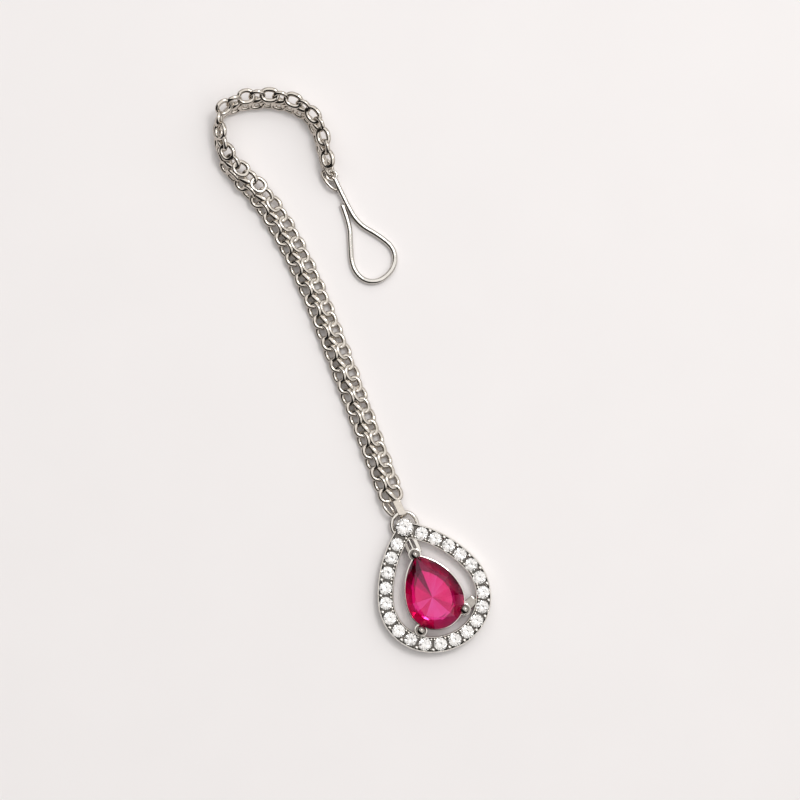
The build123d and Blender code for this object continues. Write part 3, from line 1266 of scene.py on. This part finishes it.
    def build(self, finishes: dict[Look, Material]) -> None:
        """Builds the pendant's pieces and dresses them.

        Args:
            finishes: the materials by look.
        """
        polished, shade, clear = (finishes[look] for look in (Look.PLATE, Look.SHADE, Look.CLEAR))
        settle(self.halo_band(polished, finishes[Look.RECESS]), Slot.SILVER, "pendant_setting")
        settle(self.arm_work(shade), Slot.SILVER)
        settle(self.prong_work(polished, shade), Slot.SILVER)
        rail = hoop(self.rail, self.rail_section)
        settle(rail.placed(self.place()).piece("gallery_rail", polished), Slot.SILVER)
        settle(self.stone_cup(polished), Slot.SILVER)
        for row in self.bead_rows:
            settle(self.beads(row, polished), Slot.SILVER)
        settle(self.small_stones(clear), Slot.WHITE)
        settle(self.round_stone(clear), Slot.WHITE, "top_stone")
        settle(self.pear_stone(finishes[Look.RUBY], finishes[Look.FOIL]), Slot.RED, "pear_stone")


@dataclass
class Brilliant:
    """A brilliant cut with its girdle's middle at z = 0: table, stars, kites, halves and pavilion mains.

    Crown, girdle and pavilion are heights as shares of the radius. A star's tip stands a little proud of
    the straight line from the table to the girdle.
    """

    radius: float = 1.0
    table: float = 0.56
    star: float = 0.77
    crown: float = 0.30
    girdle: float = 0.05
    pavilion: float = 0.86
    lower: float = 0.28
    fold: int = 8
    rim_steps: int = 1
    star_rise: float = 1.12
    lower_drop: float = 0.98

    def rim(self, share: float) -> Vector:
        """The girdle's plan point at a share of a turn."""
        return polar(self.radius, 360 * share)

    def middle(self) -> Vector:
        """The plan point over the culet."""
        return Vector()

    def at(self, rim: Vector, share: float, height: float) -> Vector:
        """Finds a point of the stone.

        Args:
            rim: a plan point of the girdle.
            share: how much of the way it lies from over the culet to the rim.
            height: over the girdle's middle, as a share of the radius.

        Returns:
            The point.
        """
        spot = self.middle().lerp(rim, share)
        return Vector((spot.x, spot.y, height * self.radius))

    def shell(self) -> Shell:
        """Cuts the facets.

        Returns:
            The closed form.
        """
        fold, steps = self.fold, self.rim_steps
        span = 2 * steps
        total = fold * span
        rim = [self.rim(step / total) for step in range(total)]
        half_girdle = self.girdle / 2
        rise = (1 - self.star) / (1 - self.table) * self.star_rise
        points = [self.at(spot, self.table, self.crown + half_girdle) for spot in rim[::span]]
        points += [self.at(spot, self.star, half_girdle + self.crown * rise) for spot in rim[steps::span]]
        points += [self.at(spot, 1, half_girdle) for spot in rim]
        points += [self.at(spot, 1, -half_girdle) for spot in rim]
        star, upper, under = fold, 2 * fold, 2 * fold + total
        faces: Faces = [tuple(range(fold))]
        for n in range(fold):
            after, back = (n + 1) % fold, (n - 1) % fold
            main = n * span
            faces += [(n, star + n, after)]
            faces += [(n, star + back, upper + main), (n, upper + main, star + n)]
            for step in range(main, main + span):
                ahead = (step + 1) % total
                faces += [(star + n, upper + step, upper + ahead)]
                faces += [(upper + step, under + step, under + ahead, upper + ahead)]
        more_points, more_faces = self.back(rim, under, len(points))
        return Shell(points + more_points, faces + more_faces)

    def back(self, rim: list[Vector], under: int, first: int) -> tuple[list[Vector], Faces]:
        """Cuts the facets under the girdle: two halves and half a main on each side of every main's line.

        Args:
            rim: the girdle's plan points.
            under: the number of the girdle's first lower point.
            first: the number that the first new point gets.

        Returns:
            The new points, and the faces.
        """
        span = 2 * self.rim_steps
        half_depth = -(self.girdle / 2 + self.pavilion * (1 - self.lower) * self.lower_drop)
        points = [self.at(spot, self.lower, half_depth) for spot in rim[self.rim_steps :: span]]
        points.append(self.at(self.middle(), 0, -(self.girdle / 2 + self.pavilion)))
        culet = first + self.fold
        faces: Faces = []
        for n in range(self.fold):
            main, drop, last = under + n * span, first + n, first + (n - 1) % self.fold
            faces += [(culet, drop, main), (culet, main, last)]
            for step in range(n * span, (n + 1) * span):
                faces += [(drop, under + (step + 1) % len(rim), under + step)]
        return points, faces


@dataclass
class PearCut(Brilliant):
    """The pear-cut centre stone: a brilliant's facets drawn out to a pear, its heights in millimetres."""

    outline: PearOutline = PearOutline(-6.1, ((5.3, 5.0), (11.0, 56.911), (0.6, 90.0)), (20, 20, 10), -0.3)
    culet: Pair = (-0.6, -0.05)
    inset: float = 0.3
    tip_reach: float = 0.11
    tip_power: int = 4
    # Painted light and shade of the foil in each sector, at its heart and at its edge: 0 deepest, 1 palest.
    heart_painted_light: tuple[float, ...] = (
        0.75, 0.3, 0.4, 0.6, 0.75, 0.8, 0.85, 0.7, 0.1, 0.35, 0.45, 0.35, 0.75, 0.4, 1.0, 0.85
    )
    edge_painted_light: tuple[float, ...] = (
        0.8, 0.65, 0.95, 0.1, 0.0, 0.15, 0.05, 0.35, 0.0, 0.15, 0.5, 0.8, 0.6, 0.6, 0.1, 0.75
    )
    heart: float = 0.5
    edge: float = 0.95
    table: float = 0.67
    star: float = 0.85
    crown: float = 1.3
    girdle: float = 0.25
    pavilion: float = 0.75
    lower: float = 0.64
    lower_depth: float = 0.9
    rim_steps: int = 3

    def rim(self, share: float) -> Vector:
        """Finds a point of the girdle.

        Args:
            share: how much of the way round the outline it lies, from the bottom.

        Returns:
            The plan point.
        """
        length = route_length(self.outline.half(0))
        right = self.outline.at(2 * length * min(share, 1 - share), -self.inset)
        return right if share <= 0.5 else Vector((2 * self.outline.axis - right.x, right.y, 0))

    def middle(self) -> Vector:
        """The plan point over the culet."""
        return Vector((*self.culet, 0))

    def at(self, rim: Vector, share: float, height: float) -> Vector:
        """Finds a point as for a round stone, with the crown's edges drawn out towards the pear's point.

        Args:
            rim: a plan point of the girdle.
            share: how much of the way it lies from over the culet to the rim.
            height: over the girdle's middle.

        Returns:
            The point.
        """
        if share < 1 and height > 0:
            reach = self.tip_reach * max(0.0, rim.y / -self.outline.bottom) ** self.tip_power
            share += reach * (1 - share) / (1 - self.table)
        return super().at(rim, share, height)

    def back(self, rim: list[Vector], under: int, first: int) -> tuple[list[Vector], Faces]:
        """Cuts a nearly flat heart of one facet a sector, and steeper facets from it up to the girdle.

        Args:
            rim: the girdle's plan points.
            under: the number of the girdle's first lower point.
            first: the number that the first new point gets.

        Returns:
            The new points, and the faces.
        """
        bounds = rim[:: self.rim_steps]
        depth = -(self.girdle / 2 + self.pavilion)
        points = [self.at(spot, self.lower, depth * self.lower_depth) for spot in bounds]
        points.append(self.at(self.middle(), 0, depth))
        culet = first + len(bounds)
        faces: Faces = []
        for n in range(len(bounds)):
            near, far = first + n, first + (n + 1) % len(bounds)
            end = (n + 1) * self.rim_steps % len(rim)
            faces += [(culet, far, near), (near, far, under + end)]
            for step in range(n * self.rim_steps, (n + 1) * self.rim_steps):
                faces += [(near, under + (step + 1) % len(rim), under + step)]
        return points, faces

    def tone(self, facet: Vector, corner: Vector) -> float:
        """Reads the foil's painted brightness behind one corner of a facet, from its sector's painted light
        and shade.

        Args:
            facet: the middle of the facet, in the stone's own frame.
            corner: the corner that is toned.

        Returns:
            0 for the deepest painted shade to 1 for the palest painted light.
        """
        way = (facet - self.middle()).to_2d()
        count = len(self.heart_painted_light)
        bounds = [(self.rim((sector + 0.5) / count) - self.middle()).to_2d() for sector in range(count)]
        sector = min(range(count), key=lambda number: abs(bounds[number].angle_signed(way)))
        reach = (corner - self.middle()).to_2d().length / bounds[sector].length
        blend = max(0.0, min(1.0, (reach - self.heart) / (self.edge - self.heart)))
        return self.heart_painted_light[sector] * (1 - blend) + self.edge_painted_light[sector] * blend


# ---------------------------------------------------------------------------------------------
# Chain, strap and hook


def between(start: Vector, end: Vector, roll: float) -> Matrix:
    """Finds the place of a flat form whose length lies between two points.

    Args:
        start: the lower end of its y axis.
        end: the upper end of its y axis.
        roll: how far its right side is raised, in degrees.

    Returns:
        The placing matrix, at the middle of the two points.
    """
    heading = (end - start).normalized()
    right = heading.cross(UP).normalized()
    base = Matrix((right, heading, right.cross(heading))).transposed().to_4x4()
    return Matrix.Translation((start + end) / 2) @ base @ Matrix.Rotation(-math.radians(roll), 4, "Y")


@dataclass(frozen=True)
class OvalLink:
    """One side's oval in the chain's own frame, its inner flank raised.

    Its offset is its middle's distance from the chain's line, below 0 on the left. Its size is its length
    and width over all. Its roll and its turn in its own plane are in degrees.
    """

    offset: float
    size: Pair
    wire: float
    roll: float
    turn: float = 0.0

    def shell(self) -> Shell:
        """Bends the wire and sets it beside the chain's line.

        Returns:
            The closed form.
        """
        lift = math.copysign(math.radians(self.roll), self.offset * self.roll)
        lean = Matrix.Rotation(lift, 4, "Y") @ Matrix.Rotation(math.radians(self.turn), 4, "Z")
        flat = round_wire(oval(*self.size, self.wire), self.wire)
        return flat.placed(Matrix.Translation((self.offset, 0, 0)) @ lean)


@dataclass(frozen=True)
class OvalRow:
    """One side's row: its straight ovals, those of the bend, its lead, and its first bent one's number."""

    side: Side
    straight: OvalLink
    bent: OvalLink
    lead: float
    bend_from: int


@dataclass
class DoubleChain:
    """Twisted figure-eight links, each joined to the next by an oval on either side, along one route."""

    route: tuple[Quad, ...] = (
        (6.9, -22.5, 1.15, 0), (4.7, -16.6, 1.15, 0), (1.3, -7.6, 1.15, 0), (-3.0, 3.9, 1.15, 0),
        (-7.1, 14.3, 1.15, 0), (-10.7, 21.9, 1.15, 0), (-14.1, 27.9, 1.32, 2), (-17.7, 32.5, 1.91, 20),
        (-22.3, 36.5, 2.22, 42), (-23.8, 41.3, 2.32, 68), (-23.8, 45.9, 2.3, 104), (-19.2, 48.0, 2.32, 124),
        (-14.0, 48.2, 2.25, 126), (-9.8, 47.1, 2.25, 124), (-6.9, 44.5, 2.25, 120), (-5.7, 41.3, 2.25, 116),
        (-4.8, 36.7, 2.1, 112),
    )
    turnover: float = 73.5
    first: float = 0.8
    pitch: float = 4.09
    play: float = 3.5
    wire: float = 0.82
    eight: tuple[Triple, ...] = (
        (0, 0, 0.44), (0.42, -0.95, 0.2), (1.0, -1.3, 0), (1.6, -1.0, 0), (1.85, -0.1, 0), (1.6, 0.8, 0),
        (1.0, 1.15, 0), (0.42, 0.95, -0.16), (0, 0, -0.36), (-0.42, -0.95, -0.16), (-1.0, -0.95, 0),
        (-1.6, -0.6, 0), (-1.85, 0.15, 0), (-1.6, 0.95, 0), (-1.0, 1.25, 0), (-0.42, 0.95, 0.2),
    )
    eight_steps: int = 4
    swell: Pair = (0.36, 0.18)
    swell_reach: float = 1.6
    rows: tuple[OvalRow, ...] = (
        OvalRow(
            Side.LEFT,
            OvalLink(-1.08, (3.35, 2.95), 0.82, 39.0),
            OvalLink(-1.0, (3.7, 2.9), 0.88, 35.0),
            lead=0.3,
            bend_from=20,
        ),
        OvalRow(
            Side.RIGHT,
            OvalLink(1.12, (3.45, 3.05), 0.82, 31.0, 8.0),
            OvalLink(1.0, (3.4, 2.5), 0.88, 10.0),
            lead=0.0,
            bend_from=18,
        ),
    )

    def eight_link(self) -> Shell:
        """Bends the figure-eight link, the strand that crosses on top rolled flatter and wider.

        Returns:
            The closed form in the chain's own frame.
        """
        line = rounded([Vector(corner) for corner in self.eight], self.eight_steps)
        count = len(line)
        radius = self.wire / 2
        wider, flatter = self.swell
        sizes = []
        for number in range(count):
            away = min(number, count - number) / self.eight_steps
            swell = max(0.0, 1 - away / self.swell_reach)
            sizes.append((radius * (1 + wider * swell), radius * (1 - flatter * swell)))
        return Wire(line, sizes).shell()

    def build(self, metal: Material) -> None:
        """Strings the links and dresses them.

        Args:
            metal: their finish.
        """
        route = nurbs_route("chain_route", self.route)
        length = route_length(route_points(route))
        count = int((length - self.first) / self.pitch) + 1
        LOG.info("chain route %.1f mm, %d figure-eight links", length, count)
        tree = link_tree()
        kinds = [("chain_eights", self.eight_link(), self.first, count)]
        for row in self.rows:
            start = self.first + self.pitch / 2 + row.lead
            side, early = row.side.value, row.bend_from
            kinds.append(("chain_ovals_" + side, row.straight.shell(), start, early))
            kinds.append(("bend_ovals_" + side, row.bent.shell(), start + early * self.pitch, count - early))
        shared = {"Route": route, "Pitch": self.pitch * MM, "Turnover": self.turnover * MM, "Finish": metal}
        for number, (name, shell, start, amount) in enumerate(kinds):
            form = as_template(shell, name + "_form")
            own = {"Link": form, "Count": amount, "Start": start * MM, "Play": math.radians(self.play)}
            made = grow(name, tree, {**shared, **own, "Seed": number})
            remove(form)
            settle(made, Slot.SILVER, *(["chain"] if number == 0 else []))
        remove(route)


@dataclass(frozen=True)
class SmallLink:
    """A loose oval link between two points that its end bends' middles pass, its right side raised."""

    name: str
    start: Triple
    end: Triple
    width: float
    wire: float
    roll: float
    steps: int = 36

    def shell(self) -> Shell:
        """Bends the wire and lays it between its points.

        Returns:
            The closed form.
        """
        start, end = Vector(self.start), Vector(self.end)
        line = oval((end - start).length + self.wire, self.width, self.wire, self.steps)
        return round_wire(line, self.wire).placed(between(start, end, self.roll))


@dataclass
class Fittings:
    """The strap, the small links at the chain's two ends, and the hair hook."""

    strap_start: Triple = (7.75, -23.13, 0.95)
    strap_end: Triple = (8.63, -25.08, 0.95)
    strap_bore: float = 0.86
    strap_thickness: float = 0.28
    strap_width: float = 1.35
    strap_edge: float = 0.09
    fold_steps: int = 12
    jump_link: SmallLink = SmallLink("jump_link", (-5.07, 37.59, 1.03), (-3.88, 34.87, 1.03), 2.5, 0.7, 46)
    loose_links: tuple[SmallLink, ...] = (
        SmallLink("side_link", (5.45, -23.2, 1.0), (7.15, -25.4, 1.0), 2.1, 0.62, 50),
        SmallLink("spare_link", (-5.35, 35.5, 0.75), (-2.85, 32.35, 0.75), 2.3, 0.6, 30),
    )
    hook_route: tuple[Quad, ...] = (
        (-3.3, 34.2, 1.0, 0), (-1.1, 29.5, 0.85, 0), (0.9, 26.2, 0.6, 0), (4.5, 24.2, 0.51, 0),
        (7.3, 21.9, 0.5, 0), (7.5, 18.6, 0.5, 0), (4.9, 15.95, 0.5, 0), (1.9, 15.95, 0.5, 0),
        (-0.2, 18.4, 0.5, 0), (-0.5, 22.5, 0.5, 0), (-0.6, 26.0, 0.5, 0), (-1.9, 29.4, 0.5, 0),
    )
    hook_wire: float = 0.98
    hook_sides: int = 20
    hook_smooth: float = 50.0
    tip_steps: int = 6
    tip_end: float = 6.2
    eye_centre: Triple = (-3.85, 34.80, 1.0)
    eye_radius: float = 0.88
    eye_wire: float = 0.55
    eye_sides: tuple[int, int] = (48, 14)

    def strap(self) -> Shell:
        """Folds the loop of strip round its two ends.

        Returns:
            The closed form.
        """
        start, end = Vector(self.strap_start), Vector(self.strap_end)
        along = (end - start).normalized()
        reach = (self.strap_bore + self.strap_thickness) / 2
        line: list[Vector] = []
        for middle, turn in ((end, 90), (start, 270)):
            for step in range(self.fold_steps + 1):
                angle = math.radians(turn - 180 * step / self.fold_steps)
                line.append(middle + along * reach * math.cos(angle) + UP * reach * math.sin(angle))
            after = start - UP * reach if middle == end else line[0]
            line += [line[-1].lerp(after, share) for share in (0.25, 0.5, 0.75)]
        half = (self.strap_thickness / 2, self.strap_width / 2)
        section = strip_section(*half, self.strap_edge)
        return Wire(line, [half] * len(line), True, tuple(along.cross(UP)), section).shell()

    def hook(self) -> Shell:
        """Bends the wire, with a rounded free end, and its eye.

        Returns:
            The two closed forms.
        """
        route = nurbs_route("hook_route", self.hook_route)
        line = route_points(route)
        remove(route)
        radius = self.hook_wire / 2
        sizes = [(radius, radius)] * len(line)
        heading = (line[-1] - line[-2]).normalized()
        end = line[-1]
        for step in range(1, self.tip_steps + 1):
            angle = math.tau / 4 * step / self.tip_end
            line.append(end + heading * radius * math.sin(angle))
            sizes.append((radius * math.cos(angle),) * 2)
        made = Wire(line, sizes, False, section=round_section(self.hook_sides)).shell()
        steps, sides = self.eye_sides
        made.join(round_wire(circle(self.eye_centre, self.eye_radius, steps), self.eye_wire, sides))
        return made

    def build(self, warm: Material, white: Material) -> None:
        """Builds the fittings and dresses them.

        Args:
            warm: the chain's finish.
            white: the finish of the hook, which is whiter.
        """
        settle(self.strap().piece("strap", warm), Slot.SILVER, "strap_link")
        settle(self.jump_link.shell().piece(self.jump_link.name, warm), Slot.SILVER, "end_link")
        for loose in self.loose_links:
            settle(loose.shell().piece(loose.name, warm), Slot.SILVER)
        hook = self.hook().piece("hook_wire", white, smooth_to=self.hook_smooth)
        settle(hook, Slot.SILVER, "hair_hook")


# ---------------------------------------------------------------------------------------------
# Studio


@dataclass
class Studio:
    """A pale card, a small soft lamp at the upper right, a plain room with a wide canopy, and the camera.

    The room's directions are read as points of a flat plan, their level part over one plus their height, in
    which a wire seen from above shows the room evenly across its width. Its sizes are in that plan.
    """

    floor_half: float = 1500.0
    floor_drop: float = 0.01
    lamp_at: Triple = (190.0, 225.0, 520.0)
    lamp_side: float = 160.0
    lamp_strength: float = 0.9
    room: str = "#FCFBFA"
    canopy_heading: float = 50.0
    canopy: Triple = (-0.2, 0.68, 0.6)
    canopy_edge: float = 0.08
    canopy_light: float = 1.34
    wall_span: Pair = (-0.3, 0.7)
    walls: Pair = (0.02, 0.42)
    dark: float = 0.02
    spots: tuple[Triple, ...] = ((0.3, 0.45, 0.06), (0.5, 0.1, 0.07))
    spot_core: float = 0.75
    aim: Triple = (8.33, -5.06, 0.0)
    distance: float = 334.3
    elevation: float = 86.0
    azimuth: float = -25.0
    lens: float = 85.0
    clip: Pair = (0.01, 10.0)
    glossy_bounces: int = 12

    def floor(self) -> None:
        """Lays the card that the ornament lies on."""
        half = self.floor_half
        signs = ((-1, -1), (1, -1), (1, 1), (-1, 1))
        card = Shell([Vector((x * half, y * half, -self.floor_drop)) for x, y in signs], [(0, 1, 2, 3)])
        card.piece("card", PaleBoard().material(), smooth_to=0)

    def lamp(self) -> None:
        """Hangs the soft square lamp, facing the middle of the ornament."""
        light = bpy.data.lights.new("soft_lamp", "AREA")
        light.shape = "SQUARE"
        light.size = self.lamp_side * MM
        light.energy = self.lamp_strength
        lamp = link(bpy.data.objects.new("soft_lamp", light))
        lamp.location = Vector(self.lamp_at) * MM
        aim = Vector((0, 0, 0)) - lamp.location
        lamp.rotation_euler = aim.to_track_quat("-Z", "Y").to_euler()

    def world(self) -> None:
        """Lights the room: a wide white canopy, walls that are paler behind it, and two dark openings."""
        world = bpy.data.worlds.new("plain_room")
        bpy.context.scene.world = world
        world.use_nodes = True
        tree = world.node_tree
        heading = add_node(tree, "ShaderNodeTexCoord").outputs["Generated"]
        height = add_node(tree, "ShaderNodeSeparateXYZ", links={0: heading}).outputs["Z"]
        above = add_node(tree, "ShaderNodeMath", {1: 1.0}, {0: height}, operation="ADD")
        level = add_node(tree, "ShaderNodeVectorMath", {1: (1, 1, 0)}, {0: heading}, operation="MULTIPLY")
        share = add_node(tree, "ShaderNodeMath", {0: 1.0}, {1: above}, operation="DIVIDE")
        plan = add_node(tree, "ShaderNodeVectorMath", links={0: level, "Scale": share}, operation="SCALE")
        turn = math.radians(self.canopy_heading)
        east, north = math.cos(turn), math.sin(turn)
        along, across = (
            add_node(tree, "ShaderNodeVectorMath", {1: axis}, {0: plan}, operation="DOT_PRODUCT")
            for axis in ((east, north, 0), (-north, east, 0))
        )
        along, across = along.outputs["Value"], across.outputs["Value"]
        wide = add_node(tree, "ShaderNodeMath", links={0: across}, operation="ABSOLUTE")
        near, far, half = self.canopy
        edge = self.canopy_edge
        ends = [(along, near, near + edge), (along, far, far - edge), (wide, half, half - edge)]
        for x, y, radius in self.spots:
            spot = {1: (x, y, 0)}
            gap = add_node(tree, "ShaderNodeVectorMath", spot, {0: plan}, operation="DISTANCE")
            ends.append((gap.outputs["Value"], radius * self.spot_core, radius))
        fades = []
        for value, none, full in ends:
            span = {"From Min": none, "From Max": full}
            rise = {"interpolation_type": "SMOOTHSTEP"}
            fades.append(add_node(tree, "ShaderNodeMapRange", span, {"Value": value}, **rise))
        first, second, third, *openings = fades
        strip = add_node(tree, "ShaderNodeMath", links={0: first, 1: second}, operation="MULTIPLY")
        canopy = add_node(tree, "ShaderNodeMath", links={0: strip, 1: third}, operation="MULTIPLY")
        run = dict(zip(("From Min", "From Max", "To Min", "To Max"), self.wall_span + self.walls))
        wall = add_node(tree, "ShaderNodeMapRange", run, {"Value": along})
        overhead = {3: self.canopy_light}
        lit = add_node(tree, "ShaderNodeMix", overhead, {0: canopy, 2: wall}, data_type="FLOAT")
        dimmed = {1: 1 - self.dark, 2: self.dark}
        for opening in openings:
            kept = add_node(tree, "ShaderNodeMath", dimmed, {0: opening}, operation="MULTIPLY_ADD")
            lit = add_node(tree, "ShaderNodeMath", links={0: lit, 1: kept}, operation="MULTIPLY")
        direct = add_node(tree, "ShaderNodeLightPath").outputs["Is Camera Ray"]
        seen = add_node(tree, "ShaderNodeMix", {3: 1.0}, {0: direct, 2: lit}, data_type="FLOAT")
        shader = tree.nodes["Background"]
        shader.inputs["Color"].default_value = linear(self.room)
        tree.links.new(seen.outputs[0], shader.inputs["Strength"])

    def camera(self) -> None:
        """Places the camera, nearly overhead, with +Y up in its view."""
        lens = bpy.data.cameras.new("camera")
        lens.lens = self.lens
        lens.clip_start, lens.clip_end = self.clip
        camera = link(bpy.data.objects.new("camera", lens))
        turn, rise = math.radians(self.azimuth), math.radians(self.elevation)
        back = Vector((math.sin(turn) * math.cos(rise), -math.cos(turn) * math.cos(rise), math.sin(rise)))
        right = Vector((0, 1, 0)).cross(back).normalized()
        place = Matrix((right, back.cross(right), back)).transposed().to_4x4()
        place.translation = (Vector(self.aim) + back * self.distance) * MM
        camera.matrix_world = place
        bpy.context.scene.camera = camera

    def build(self) -> None:
        """Sets the stage."""
        scene = bpy.context.scene
        scene.view_settings.view_transform = "Standard"
        scene.cycles.glossy_bounces = self.glossy_bounces
        self.camera()
        self.floor()
        self.lamp()
        self.world()


def main() -> None:
    """Builds the studio and the ornament's sub-assemblies in order."""
    logging.basicConfig(level=logging.INFO, format="%(name)s: %(message)s")
    kinds = {
        Look.PLATE: PolishedPlate(),
        Look.WARM: WarmPlate(),
        Look.CLEAR: CutStone(),
        Look.RUBY: SyntheticRuby(),
        Look.RECESS: PaintedShadeRecess(),
        Look.SHADE: ShadedPlate(),
        Look.FOIL: BackFoil(),
    }
    finishes = {look: kind.material() for look, kind in kinds.items()}
    Studio().build()
    DoubleChain().build(finishes[Look.WARM])
    Fittings().build(finishes[Look.WARM], finishes[Look.PLATE])
    Pendant().build(finishes)
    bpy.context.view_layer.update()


if __name__ == "__main__":
    main()
